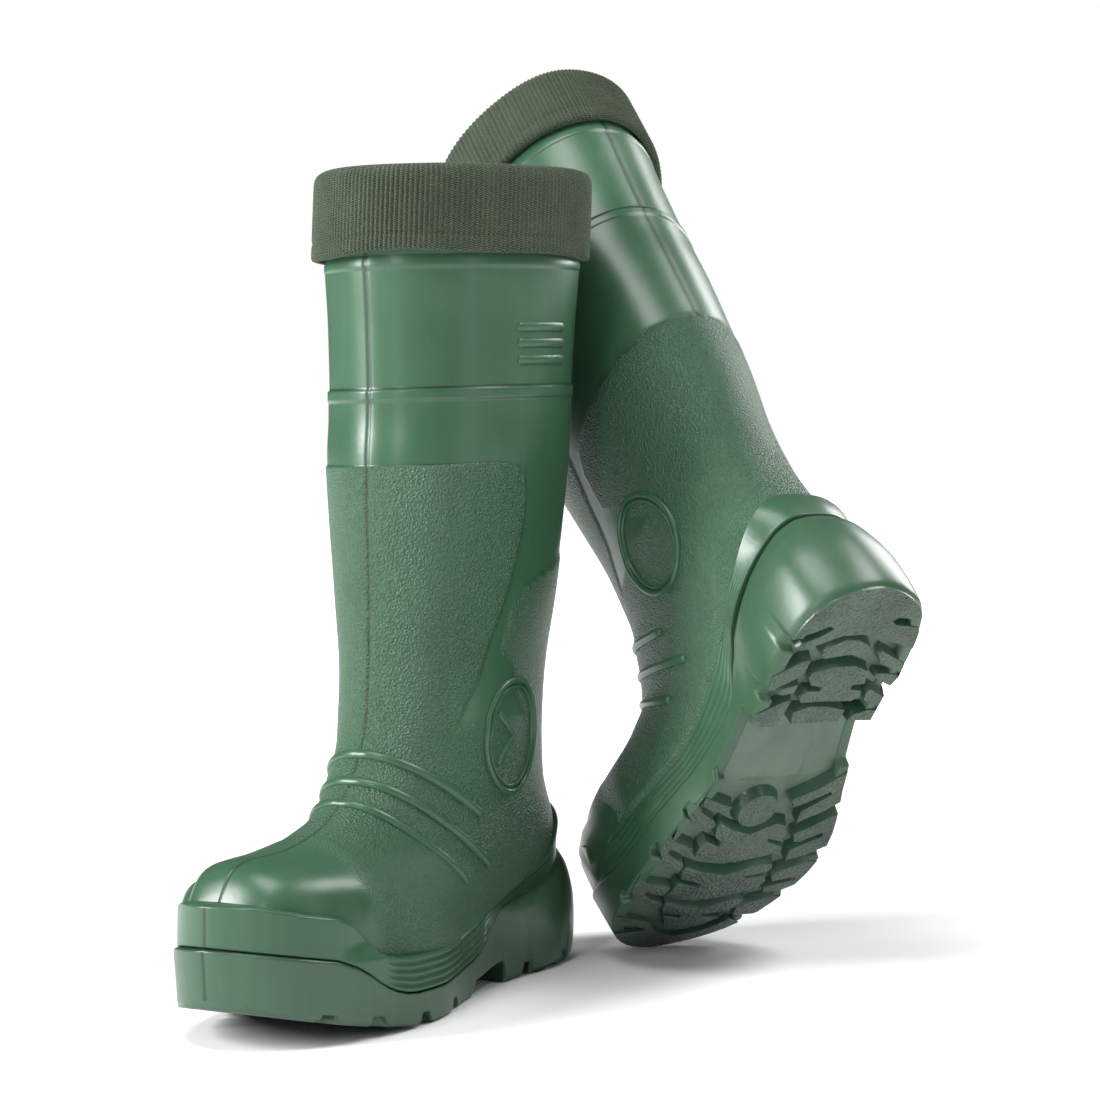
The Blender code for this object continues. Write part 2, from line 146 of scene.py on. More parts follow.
PLAIN = LEG + [
    (-0.0850, 0.1305, 0.0765, 0.0985, 0.0436, 2.2, 2.7),
    (-0.0925, 0.1205, 0.0840, 0.0780, 0.0436, 2.2, 2.9),
    (-0.1010, 0.1125, 0.0880, 0.0450, 0.0440, 2.2, 3.0),
    (-0.1100, 0.1065, 0.0880, 0.0200, 0.0445, 2.2, 3.6),
] + FOOT_MIDDLE + [
    (-0.1880, 0.0918, -0.1600, 0.0180, 0.0540, 2.4, 8.0),
    (-0.1985, 0.0880, -0.1850, 0.0230, 0.0425, 2.3, 4.5),
    (-0.2030, 0.0790, -0.1980, 0.0290, 0.0290, 2.2, 3.0),
    (-0.2045, 0.0640, -0.2035, 0.0360, 0.0150, 2.0, 2.2),
]
SOLE = [
    (0.000, 0.095), (0.034, 0.080), (0.044, 0.045), (0.041, 0.005), (0.046, -0.047),
    (0.060, -0.098), (0.057, -0.145), (0.035, -0.192), (-0.010, -0.2124), (-0.045, -0.192),
    (-0.060, -0.145), (-0.058, -0.103), (-0.044, -0.051), (-0.040, 0.005), (-0.043, 0.045),
    (-0.033, 0.080),
]
fine_sole = through(SOLE, np.arange(0, len(SOLE), 1 / 24), closed=True)
toe_row = int(np.argmin(fine_sole[:, 1]))
outer_edge = fine_sole[: toe_row + 1]
inner_edge = np.vstack([fine_sole[toe_row:], fine_sole[:1]])


def outer_side(y):
    return np.interp(-y, -outer_edge[:, 1], outer_edge[:, 0])


def inner_side(y):
    return np.interp(y, inner_edge[:, 1], inner_edge[:, 0])


def toe_spring(y):
    """How far the tread rises off the ground towards the toe."""
    return 0.0215 * np.clip((-0.105 - y) / 0.1074, 0, 1) ** 1.6


def soft_limit(x, low, high):
    """x kept between low and high, easing into them."""
    middle, half = (low + high) / 2, np.maximum((high - low) / 2, 0.002)
    share = (x - middle) / half
    return middle + half * share / (1 + np.abs(share) ** 9) ** (1 / 9)


def surface(stations, rows, angles, wall=0.0, floor=0.0, tight_toe=False):
    """The boot's skin: one ring of points for each row, moved in by wall, and by floor below."""
    found = through(stations, rows)
    front, back = found[:, 0:2], found[:, 2:4]
    length = np.linalg.norm(back - front, axis=1)
    direction = (back - front) / length[:, None]
    steep = np.maximum(np.abs(direction[:, 1]), 0.05)
    lift = np.maximum(0.0164 + 0.75 * toe_spring(back[:, 0]) + floor - back[:, 1], 0)
    middle = (front + back) / 2
    front_half = length / 2 - wall * 1.12
    back_half = length / 2 - np.maximum(wall / np.maximum(np.abs(direction[:, 0]), 0.6),
                                        lift / steep)
    along, across = -np.cos(angles)[None, :], np.sin(angles)[None, :]
    power = np.where(along < 0, found[:, 5:6], found[:, 6:7])
    size = (np.abs(along) ** power + np.abs(across) ** power) ** (-1 / power)
    along, across = along * size, across * size
    reach = along * np.where(along < 0, front_half[:, None], back_half[:, None])
    y = middle[:, 0:1] + direction[:, 0:1] * reach
    z = middle[:, 1:2] + direction[:, 1:2] * reach
    sole_width = np.abs(np.where(across > 0, outer_side(y), inner_side(y)))
    cap = smooth(-0.150, -0.180, y) if tight_toe else 0.0
    low = smooth(0.105 - 0.027 * cap, 0.045, z) * smooth(-0.199, -0.185, y)
    half = (1 - low) * (found[:, 4:5] - wall) + low * (sole_width - wall)
    toe = smooth(-0.110, -0.205, front[:, 0:1])
    x = half * across - 0.010 * toe ** 2
    if tight_toe:
        room = 0.0045 * smooth(-0.135, -0.185, y)
        held = soft_limit(x, inner_side(y) + room, outer_side(y) - room)
        x = x + (held - x) * smooth(-0.100, -0.130, y)
        rise = smooth(0.052, 0.108, z) * smooth(-0.122, -0.188, y)
        x = x * (1 - 0.30 * rise) - 0.0016 * rise
        y = y + (-0.135 - y) * 0.26 * rise
    return np.stack([x, y + 1.8 * wall * toe, z], axis=2)


# %% [markdown]
# ## From a flat grid to a piece
# Most pieces here are bands and tubes with fine relief. Blender's grid operator makes the mesh, the
# grid's corners are then moved onto the boot, the edges that meet are merged and the faces are turned
# outward. Two numbers travel with each corner: how grained the foam is there, and how much painted
# shade it takes in a moulded line, which the finish later darkens.

# %% a piece from a grid
def finish_mesh(mesh, name, side, finishes, hard=None):
    """The bmesh made an object on its boot, with its finishes and its smooth faces."""
    bmesh.ops.recalc_face_normals(mesh, faces=mesh.faces)
    if mesh.calc_volume(signed=True) < 0:
        bmesh.ops.reverse_faces(mesh, faces=mesh.faces)
    data = bpy.data.meshes.new(name)
    mesh.to_mesh(data)
    mesh.free()
    data.shade_smooth()
    if hard:
        data.set_sharp_from_angle(angle=math.radians(hard))
    for finish in finishes:
        data.materials.append(finish)
    piece = bpy.data.objects.new(name, data)
    bpy.context.scene.collection.objects.link(piece)
    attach(piece, side + "_boot")
    return piece


def grid_piece(name, side, finish, points, grain=None, line=None):
    """points[row, column] of the boot's frame as a skin, with a grain and a line (painted shade)
    number for each.
    """
    rows, columns = points.shape[0] - 1, points.shape[1] - 1
    mesh = bmesh.new()
    bmesh.ops.create_grid(mesh, x_segments=columns, y_segments=rows, size=0.5)
    flat = np.array([corner.co[:2] for corner in mesh.verts]) + 0.5
    column = np.rint(flat[:, 0] * columns).astype(int)
    row = np.rint(flat[:, 1] * rows).astype(int)
    placed = stand(points[row, column], side)
    uv = mesh.loops.layers.uv.new("weave")
    grained = mesh.verts.layers.float.new("grain")
    # The line layer carries painted shade: how dark a crease, step or groove falls.
    painted_shade_layer = mesh.verts.layers.float.new("line")
    for k, corner in enumerate(mesh.verts):
        corner.co = placed[k]
        if grain is not None:
            corner[grained] = grain[row[k], column[k]]
        if line is not None:
            corner[painted_shade_layer] = line[row[k], column[k]]
        for loop in corner.link_loops:
            loop[uv].uv = flat[k]
    bmesh.ops.remove_doubles(mesh, verts=mesh.verts, dist=2e-6)
    return finish_mesh(mesh, name, side, [finish])


def put_on_boot(mesh, side):
    """The mesh's corners, moved from the boot's own frame to where that side's boot is."""
    placed = stand(np.array([corner.co[:] for corner in mesh.verts]), side)
    for corner, place in zip(mesh.verts, placed):
        corner.co = place


def closed_rows(rows):
    """The rows with the first one again at the end, so that the grid closes into a ring."""
    return np.concatenate([rows, rows[:1]])


def outward(points):
    """Unit normals of a grid of points that closes round, away from its inside."""
    across = np.roll(points[:, :-1], -1, axis=1) - np.roll(points[:, :-1], 1, axis=1)
    across = np.concatenate([across, across[:, :1]], axis=1)
    along = np.gradient(points, axis=0)
    normal = np.cross(along, across)
    return normal / np.maximum(np.linalg.norm(normal, axis=2), 1e-12)[:, :, None]


# %% [markdown]
# ## Finishes
# The shell is one closed-cell foam, moulded glossy in some places and leather-grained in others, so
# one material reads the grain number and blends two bumps and two roughnesses. A soft vertical
# mottling keeps large areas alive. The line number darkens the creases with painted shade.

# %% node helpers
def new_finish(name):
    """A material, its shader, and helpers that add a node and link a value to the shader."""
    finish = bpy.data.materials.new(name)
    finish.use_nodes = True
    tree = finish.node_tree
    shader = tree.nodes["Principled BSDF"]

    def node(kind, inputs=None, **settings):
        made = tree.nodes.new("ShaderNode" + kind)
        for key, value in settings.items():
            setattr(made, key, value)
        for key, value in (inputs or {}).items():
            if isinstance(value, bpy.types.NodeSocket):
                tree.links.new(value, made.inputs[key])
            else:
                made.inputs[key].default_value = value
        return made

    def link(value, key):
        tree.links.new(value, shader.inputs[key])

    return finish, shader, node, link


def maths(node, operation, *values):
    return node("Math", dict(enumerate(values)), operation=operation).outputs[0]


def noise(node, where, scale, detail):
    return node("TexNoise", {"Vector": where, "Scale": scale, "Detail": detail}).outputs["Fac"]


def pebbles_of(node, where, scale, softness):
    """Rounded cells, as in leather grain or pebbled rubber."""
    return node("TexVoronoi", {"Vector": where, "Scale": scale, "Smoothness": softness},
                feature="SMOOTH_F1").outputs["Distance"]


def raise_by(node, link, height, strength, distance):
    bumped = node("Bump", {"Height": height, "Strength": strength, "Distance": distance})
    link(bumped.outputs["Normal"], "Normal")


def ramp_of(node, value, stops):
    """A colour ramp of (place, colour) stops, read at value."""
    made = node("ValToRGB", {"Fac": value})
    elements = made.color_ramp.elements
    while len(elements) < len(stops):
        elements.new(0.5)
    for element, (place, colour) in zip(elements, stops):
        element.position = place
        element.color = (*colour, 1.0)
    return made.outputs["Color"]


# %% moulded foam
def foam_finish(name, dark, light, smooth_gloss, grain_gloss):
    """Foam that is leathery where its grain number is 1, with painted shade where its line number is.
    """
    finish, shader, node, link = new_finish(name)
    where = node("TexCoord").outputs["Object"]
    grain = node("Attribute", attribute_name="grain").outputs["Fac"]
    line = node("Attribute", attribute_name="line").outputs["Fac"]
    clouds = noise(node, where, 14.0, 3.0)
    streaks = node("Mapping", {"Vector": where, "Scale": (160.0, 160.0, 9.0)}).outputs["Vector"]
    faint = maths(node, "MULTIPLY", noise(node, streaks, 1.0, 2.0), 0.3)
    mottle = maths(node, "MULTIPLY_ADD", clouds, 0.7, faint)
    colour = ramp_of(node, mottle, [(0.3, dark), (0.7, light)])
    # Painted shade: the line number mixes in a much darker green, for the shade in creases, steps and
    # grooves.
    crease_shade_colour = tuple(0.28 * part for part in dark)
    painted_crease_shade = node("Mix", {"Factor": line, "A": colour, "B": (*crease_shade_colour, 1.0)},
                data_type="RGBA").outputs["Result"]
    link(painted_crease_shade, "Base Color")
    cells = pebbles_of(node, where, 760.0, 0.25)
    leather = maths(node, "SUBTRACT", cells, noise(node, where, 1100.0, 2.0))
    raised = maths(node, "MULTIPLY", leather, grain)
    fine = maths(node, "MULTIPLY", noise(node, where, 330.0, 2.0), 0.05)
    raise_by(node, link, maths(node, "ADD", raised, fine), 0.75, 0.0016)
    gloss = node("MapRange", {"Value": grain, "To Min": smooth_gloss, "To Max": grain_gloss})
    link(maths(node, "MULTIPLY_ADD", clouds, 0.10, gloss.outputs["Result"]), "Roughness")
    shader.inputs["Specular IOR Level"].default_value = 0.5
    return finish


foam = foam_finish("moulded_foam", (0.026, 0.078, 0.039), (0.038, 0.106, 0.054), 0.28, 0.36)
sole_foam = foam_finish("sole_wall_foam", (0.028, 0.074, 0.039), (0.041, 0.100, 0.054), 0.30, 0.38)


# %% tread rubber
def tread_finish(name, dark, light, roughness, pebbles):
    """Rubber with a pebbled face, as strongly raised as pebbles says."""
    finish, shader, node, link = new_finish(name)
    where = node("TexCoord").outputs["Object"]
    link(ramp_of(node, noise(node, where, 40.0, 4.0), [(0.3, dark), (0.7, light)]), "Base Color")
    raise_by(node, link, pebbles_of(node, where, 520.0, 0.5), pebbles, 0.0022)
    shader.inputs["Roughness"].default_value = roughness
    return finish


tread_face = tread_finish("tread_pebbled", (0.040, 0.068, 0.046), (0.074, 0.114, 0.080), 0.50, 0.95)
tread_wall = tread_finish("tread_moulded", (0.026, 0.062, 0.038), (0.042, 0.092, 0.057), 0.28, 0.06)
arch_skin = tread_finish("tread_arch", (0.066, 0.106, 0.075), (0.092, 0.142, 0.102), 0.42, 0.14)


# %% knit, pile and felt
def knit_finish(name, ribs, rows, dark, light):
    """Slanted yarns along the weave's ribs, with fuzz over them and painted shade between the yarns.
    """
    finish, shader, node, link = new_finish(name)
    uv = node("UVMap", uv_map="weave").outputs["UV"]
    where = node("TexCoord").outputs["Object"]
    parts = node("SeparateXYZ", {"Vector": uv}).outputs
    inside = maths(node, "PINGPONG", maths(node, "MULTIPLY", parts["X"], float(ribs)), 1.0)
    slanted = maths(node, "MULTIPLY_ADD", parts["Y"], float(rows), inside)
    yarn = maths(node, "SINE", maths(node, "MULTIPLY", slanted, 2 * math.pi))
    fuzz = noise(node, where, 1500.0, 3.0)
    lifted = node("MapRange", {"Value": yarn, "From Min": -1.0, "From Max": 1.0}).outputs["Result"]
    # Painted shade: the colour falls nearly black in the troughs between the yarns; the broad noise
    # is the knit's own tone.
    yarn_shading = maths(node, "MULTIPLY", lifted, fuzz)
    tone_and_yarn_shade = maths(node, "MULTIPLY_ADD", noise(node, where, 60.0, 3.0), 0.35, yarn_shading)
    link(ramp_of(node, tone_and_yarn_shade, [(0.18, dark), (0.75, light)]), "Base Color")
    raise_by(node, link, maths(node, "MULTIPLY_ADD", fuzz, 0.5, lifted), 0.85, 0.0010)
    shader.inputs["Roughness"].default_value = 0.9
    shader.inputs["Sheen Weight"].default_value = 0.22
    shader.inputs["Sheen Roughness"].default_value = 0.5
    shader.inputs["Sheen Tint"].default_value = (0.45, 0.62, 0.42, 1.0)
    return finish


def fleece_finish(name, dark, light, scale, depth):
    """Tufts of pile, or the hairs of felt, by their scale and depth."""
    finish, shader, node, link = new_finish(name)
    where = node("TexCoord").outputs["Object"]
    tufts = node("TexNoise", {"Vector": where, "Scale": scale, "Detail": 5.0,
                              "Roughness": 0.7}).outputs["Fac"]
    link(ramp_of(node, tufts, [(0.3, dark), (0.7, light)]), "Base Color")
    raise_by(node, link, tufts, 0.9, depth)
    shader.inputs["Roughness"].default_value = 0.95
    shader.inputs["Sheen Weight"].default_value = 0.3
    return finish


RIBS = 176
knit = knit_finish("cuff_knit", RIBS, 130, (0.008, 0.013, 0.006), (0.074, 0.101, 0.056))
pile = fleece_finish("liner_pile", (0.05, 0.065, 0.045), (0.16, 0.19, 0.14), 260.0, 0.003)
felt = fleece_finish("liner_felt", (0.12, 0.12, 0.11), (0.24, 0.24, 0.22), 700.0, 0.0008)
footbed = fleece_finish("footbed_felt", (0.20, 0.19, 0.17), (0.36, 0.35, 0.32), 500.0, 0.0008)
print("finishes", len(bpy.data.materials))

# %% [markdown]
# ## The foam shell
# The leg has two moulded steps round it, a leather-grained panel in front and another behind, and a
# glossy window between them on each side. All of it is relief well under two millimetres, so the
# skin is moved along its own normals by a sum of soft steps. The rows of the grid are crowded where
# the steps are.

# %% edges of the grained panels
# Angle from the side of the leg, positive to the back, in degrees, against height.
FRONT_PANEL = np.array([(0.150, -34), (0.163, -30), (0.175, -24.5), (0.196, -21), (0.218, -16),
                        (0.240, -12), (0.263, -9), (0.285, -10), (0.292, -14), (0.2957, -24)])
BACK_PANEL = np.array([(0.150, 14), (0.165, 2.4), (0.1785, -2.2), (0.184, -7.7), (0.190, -12.3),
                       (0.212, -10.5), (0.223, -6), (0.230, 6.6), (0.236, 23), (0.243, 60),
                       (0.245, 95)])
PANEL_TOP = 0.2957
RINGS = [(0.4047, 0.4107), (0.3318, 0.3378)]


def shell_rows(sharp, spacing):
    """Places along the sections, close together near each sharp height of the leg."""
    heights = np.array(LEG)[:, 1]
    places = list(np.arange(0, len(PLAIN) - 1, spacing))
    places += list(np.interp(-np.arange(0.190, 0.250, 0.0030), -heights, np.arange(len(heights))))
    for height in sharp:
        middle = np.interp(-height, -heights, np.arange(len(heights)))
        slope = len(heights) / (heights[0] - heights[-1])
        places += [middle + step * slope for step in (-0.0011, -0.0005, 0, 0.0005, 0.0011)]
    return np.unique(np.round(places + [len(PLAIN) - 1.0], 4))


def shell_relief(skin, angles):
    """(outward move, grain, line) of the shell's skin, where line is painted shade."""
    y, z = skin[:, :, 1], skin[:, :, 2]
    turn = np.degrees(np.abs((angles + math.pi) % (2 * math.pi) - math.pi)) - 90
    turn = np.broadcast_to(turn[None, :], z.shape)
    move, line = np.zeros(z.shape), np.zeros(z.shape)
    for low, high in RINGS:
        move += 0.0012 * smooth(high + 0.0005, high - 0.0005, z) * smooth(low - 0.03, low, z)
        move -= 0.0005 * smooth(low + 0.0005, low - 0.0005, z) * smooth(low - 0.03, low, z)
        # Painted shade along the upper edge of each ring step, fainter at its foot.
        line += bump(z, high + 0.0006, 0.0011) + 0.35 * bump(z, low, 0.0008)
    front = np.interp(z, FRONT_PANEL[:, 0], FRONT_PANEL[:, 1])
    in_front = smooth(front + 1.2, front - 1.2, turn)
    top_height = np.interp(turn, BACK_PANEL[4:, 1], BACK_PANEL[4:, 0])
    behind = smooth(top_height + 0.0024, top_height - 0.0024, z)
    under = np.interp(z, BACK_PANEL[:5, 0], BACK_PANEL[:5, 1])
    behind = behind * np.where(z < 0.190, smooth(under - 1.5, under + 1.5, turn), 1)
    behind = behind * smooth(-15, -10, turn)
    foot = smooth(0.152, 0.148, z)
    panel = np.maximum(np.maximum(in_front, behind), foot) * smooth(0.2962, 0.2952, z)
    move += 0.0009 * panel
    # Painted shade along the panels' edges, and under the panel top at the front.
    line += 0.55 * np.clip(4 * panel * (1 - panel), 0, 1) ** 2 * smooth(0.155, 0.165, z)
    line += 0.5 * bump(z, 0.2963, 0.0012) * (turn < -24)
    grain = panel * smooth(-0.150, -0.128, y) * smooth(0.020, 0.060, z)
    step = smooth(-0.1275, -0.1305, y) * smooth(0.060, 0.085, z)
    move += 0.0005 * step
    seam_front = np.exp(-((turn + 90) / 0.9) ** 2) * smooth(0.05, 0.075, z)
    seam_back = np.exp(-((turn - 90) / 0.9) ** 2) * smooth(0.240, 0.246, z)
    move -= 0.0006 * np.maximum(seam_front, seam_back)
    # Painted shade down the seams in front and behind.
    line += 0.95 * np.maximum(seam_front, seam_back)
    return move, grain, np.clip(line, 0, 1)


# %% the shell's skin, outside and in
COLUMNS = 320
round_angles = np.linspace(0, 2 * math.pi, COLUMNS + 1)
sharp_heights = [PANEL_TOP + 0.0003] + [height for ring in RINGS for height in ring]
rows = shell_rows(sharp_heights, 0.085)
outer_skin = surface(PLAIN, rows, round_angles, tight_toe=True)
relief, grain, line = shell_relief(outer_skin, round_angles)
outer_skin = outer_skin + outward(outer_skin) * relief[:, :, None]


def band_top(y):
    """Height of the upper band's top edge round the sole."""
    return np.interp(y, [-0.2124, -0.205, -0.188, -0.172, -0.162, -0.154, -0.147, -0.139, -0.125,
                         -0.109, -0.063, -0.040, -0.017, 0.015, 0.044, 0.070, 0.090],
                     [0.075, 0.0745, 0.069, 0.0655, 0.0605, 0.052, 0.044, 0.0405, 0.0385,
                      0.038, 0.036, 0.0395, 0.046, 0.055, 0.065, 0.082, 0.0955])


covered = smooth(0.002, -0.002, outer_skin[:, :, 2] - band_top(outer_skin[:, :, 1]) + 0.003)
tucked = covered * (0.0032 + 0.0018 * smooth(-0.150, -0.190, outer_skin[:, :, 1]))
outer_skin = outer_skin - outward(outer_skin) * tucked[:, :, None]
inner_rows = np.linspace(len(PLAIN) - 2.2, 0, 24)
inner_skin = surface(PLAIN, inner_rows, round_angles, wall=0.0046, floor=0.0096)
tip_out = np.repeat(outer_skin[-1:].mean(axis=1, keepdims=True), COLUMNS + 1, axis=1)
tip_in = np.repeat(inner_skin[:1].mean(axis=1, keepdims=True), COLUMNS + 1, axis=1)
tip_out = tip_out + np.array([0, -0.0006, 0])
whole = np.concatenate([tip_in, inner_skin, outer_skin, tip_out])
plain_inside = np.zeros((len(tip_in) + len(inner_skin), COLUMNS + 1))
whole_grain = np.concatenate([plain_inside, grain, grain[-1:]])
whole_painted_shade = np.concatenate([plain_inside, line, line[-1:]])
print("shell grid", whole.shape[:2], "faces", whole.shape[0] * whole.shape[1])
SIDES = ("left", "right")
for side in SIDES:
    shell = grid_piece(side + "_shell_skin", side, foam, whole, whole_grain, whole_painted_shade)
    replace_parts(shell, side + "_shell")

# %% [markdown]
# ## A surface to lay the details on
# Bands, beads and ridges have to follow the shell exactly. Coarse copies of its skin go into search
# trees, and rays cast at them from outside give the places that the details lie on.

# %% search trees
def tree_of(points):
    """A search tree of the faces between a grid of points."""
    rows, columns = points.shape[:2]
    index = np.arange(rows * columns).reshape(rows, columns)
    quads = np.stack([index[:-1, :-1], index[:-1, 1:], index[1:, 1:], index[1:, :-1]], axis=2)
    return BVHTree.FromPolygons(points.reshape(-1, 3).tolist(), quads.reshape(-1, 4).tolist())


wide_skin = surface(WITH_LEDGE, np.arange(0, len(WITH_LEDGE) - 0.99, 0.125), round_angles[::2])
wide_tree = tree_of(wide_skin)
plain_skin = surface(PLAIN, np.arange(0, len(PLAIN) - 0.99, 0.125), round_angles[::2])
plain_tree = tree_of(plain_skin)
skin_tree = tree_of(outer_skin[:, ::2])


def cast(tree, start, direction):
    """Point and normal where a ray first meets the tree's skin, or None."""
    hit = tree.ray_cast(Vector(start), Vector(direction).normalized())
    return None if hit[0] is None else (np.array(hit[0]), np.array(hit[1]))


# %% [markdown]
# ## The sole's side walls
# Two moulded bands run round the sole. The lower one is the wall of the sole itself, with the round
# ball of the heel at the back. The upper one is a smooth strip over the toe, a bundle of five
# grooves at the waist, and a flared collar above the heel. Both share the line where they meet.

# %% the bands' edges
def band_seam(y):
    """Height of the line between the lower and the upper band."""
    return np.interp(y, [-0.2124, -0.198, -0.173, -0.162, -0.155, -0.149, -0.143, -0.137, -0.129,
                         -0.120, -0.092, -0.060, -0.044, -0.033, -0.026, -0.021, -0.013, -0.006,
                         0.020, 0.045, 0.070, 0.090],
                     [0.0525, 0.049, 0.0435, 0.0385, 0.0340, 0.0290, 0.0250, 0.0220, 0.0195,
                      0.0182, 0.0172, 0.0178, 0.0190, 0.0220, 0.0260, 0.0325, 0.0390, 0.0430,
                      0.0480, 0.0550, 0.0640, 0.0715])


def tread_root(y):
    """Underside of the sole between its lugs, hollow under the arch."""
    hollow = smooth(-0.055, 0.006, y) * (y <= 0.006)
    return 0.0065 + 0.0065 * hollow + 0.85 * toe_spring(y)


def inner_seam(y):
    """The same line on the inner side, where it stays low until the heel begins."""
    return np.interp(y, [-0.2124, -0.198, -0.185, -0.170, -0.155, -0.140, -0.120, -0.030, -0.012,
                         -0.004, 0.006, 0.020, 0.045, 0.070, 0.090],
                     [0.0525, 0.049, 0.0445, 0.0370, 0.0290, 0.0220, 0.0182, 0.0185, 0.0205,
                      0.0250, 0.0370, 0.0480, 0.0550, 0.0640, 0.0715])


AROUND = 620
sole_at = np.linspace(0, len(SOLE), AROUND + 1)
sole_at[-1] = 0
outline = through(SOLE, sole_at, closed=True)
tangent = np.roll(outline[:-1], -1, axis=0) - np.roll(outline[:-1], 1, axis=0)
tangent = np.vstack([tangent, tangent[:1]])
sideways = np.stack([-tangent[:, 1], tangent[:, 0]], axis=1)
sideways /= np.linalg.norm(sideways, axis=1)[:, None]
sideways *= np.sign((sideways * (outline - (0, -0.05))).sum(axis=1))[:, None]


def wall_points(heights, offsets, hug, proud):
    """Points round the sole at heights[row, column], pushed out from the wall by offsets.

    At the heel they lean in to the shell, by the share hug, and stay proud of it.
    """
    points = np.zeros(heights.shape + (3,))
    for column in range(AROUND + 1):
        edge, out = outline[column], sideways[column]
        trust = float(smooth(-0.178, -0.140, edge[1]) * smooth(0.036, 0.018, edge[1]))
        for row in range(heights.shape[0]):
            z = heights[row, column]
            place = edge.copy()
            share = trust * float(smooth(0.040, 0.052, z))
            if share > 0:
                hit = cast(wide_tree, (*(edge + out * 0.05), z), (*-out, 0))
                if hit:
                    place = edge + (hit[0][:2] - edge) * share
            lean = hug * float(smooth(0.012, 0.036, edge[1]) * smooth(0.034, 0.072, z))
            if lean > 0:
                hit = cast(plain_tree, (*(edge + out * 0.05), z), (*-out, 0))
                if hit:
                    place = place + (hit[0][:2] + out * proud - place) * lean
            points[row, column, :2] = place + out * offsets[row, column]
            points[row, column, 2] = z
    return points


# %% lower band with the heel's ball
y_round = outline[:, 1]
heel = smooth(-0.005, 0.030, y_round)
toe = smooth(-0.150, -0.200, y_round)
outer_half = outline[:, 0] > 0
OUTER_GAPS = (0.0580, 0.0200, -0.0760, -0.1140, -0.1500, -0.1780)
INNER_GAPS = (0.0530, 0.0160, -0.0740, -0.1060, -0.1500)
gap_share = np.zeros(AROUND + 1)
for gaps, mine in ((OUTER_GAPS, outer_half), (INNER_GAPS, ~outer_half)):
    for gap in gaps:
        gap_share = np.maximum(gap_share, mine * smooth(0.0052, 0.0034, np.abs(y_round - gap)))
arch_start = np.where(outer_half, -0.040, -0.047)
gap_share = np.maximum(gap_share, smooth(arch_start - 0.002, arch_start, y_round)
                       * smooth(-0.002, -0.004, y_round))
bottom = toe_spring(y_round) + 0.0008
bottom = bottom + gap_share * (tread_root(y_round) - 0.0005 - bottom)
seam = np.where(outer_half, band_seam(y_round), inner_seam(y_round))
share = np.concatenate([[0.0, 0.0, 0.03], np.linspace(0.06, 0.955, 26), [0.985, 1.0, 1.0, 0.5, 0.0]])
inset = np.concatenate([[-0.006, -0.0016, -0.0004], np.zeros(26), [-0.0005, -0.0022, -0.007, -0.0075,
                                                                   -0.007]])
heights = bottom[None, :] + share[:, None] * (seam - bottom)[None, :]
swell = np.sin(np.clip(share, 0, 1) ** 0.8 * math.pi)[:, None] ** 0.8
calm = 1 - 0.75 * (~outer_half) * smooth(-0.185, -0.165, y_round) * smooth(0.010, -0.010, y_round)
upper_rows = np.arange(len(share)) > 20
tuck = np.where(upper_rows, calm[:, None], 1.0).T * inset[:, None]
tuck = np.where(inset[:, None] > -0.004, tuck, inset[:, None])
ball = 0.0030 * swell - 0.0040 * smooth(0.74, 1.0, share)[:, None] ** 2
lower_out = tuck + (inset > -0.004)[:, None] * (
    0.0004 + heel[None, :] * ball + 0.0004 * toe[None, :]
    - 0.0012 * toe[None, :] * (1 - share[:, None]))
lower_points = wall_points(heights, lower_out, 0.70, 0.0030)
# Painted shade where the lower band meets the upper one, and down the seam at the toe.
creased = ((share > 0.97) & (inset > -0.006)).astype(float)
lower_painted_shade = 0.8 * creased[:, None] * calm[None, :]
toe_seam = np.exp(-((np.abs(outline[:, 0] + 0.010) / 0.0009) ** 2)) * (y_round < -0.2)
lower_points[3:-5, :, 1] += 0.0004 * toe_seam[None, :]
lower_painted_shade = np.maximum(lower_painted_shade, 0.9 * toe_seam[None, :])

# %% upper band with grooves and the heel's collar
top = band_top(y_round)
waist = smooth(-0.146, -0.132, y_round) * smooth(0.052, 0.026, y_round)
collar = smooth(0.030, 0.085, y_round)
upper_share = np.concatenate([[0.0, 0.0, 0.02], np.linspace(0.05, 0.95, 46), [0.98, 1.0, 1.0, 0.5,
                                                                              0.0]])
upper_inset = np.concatenate([[-0.007, -0.0022, -0.0008], np.zeros(46),
                              [-0.0004, -0.0016, -0.009, -0.010, -0.008]])
upper_heights = seam[None, :] + upper_share[:, None] * (top - seam)[None, :]
grooves = 0.5 - 0.5 * np.cos(np.clip(upper_share, 0, 1) * 2 * math.pi * 5)
skin_rows = (upper_inset > -0.003)[:, None]
depth = waist * np.where(outer_half, 1.0, 0.4)
flare = np.clip(upper_share, 0, 1)[:, None] ** 1.2
upper_tuck = np.where(skin_rows, upper_inset[:, None] * (0.25 + 0.75 * calm[None, :]),
                      upper_inset[:, None])
upper_out = upper_tuck + skin_rows * (
    -0.0012 * toe[None, :] * (1 + upper_share[:, None]) - 0.0003 * depth[None, :]
    + 0.0013 * grooves[:, None] * depth[None, :] + 0.0032 * flare * collar[None, :])
shelf = 0.003 * collar + 0.008 * smooth(-0.125, -0.150, y_round)
upper_out = upper_out - (~skin_rows) * (upper_share[:, None] > 0.4) * shelf[None, :]
upper_points = wall_points(upper_heights, upper_out, 1.0, 0.0014)
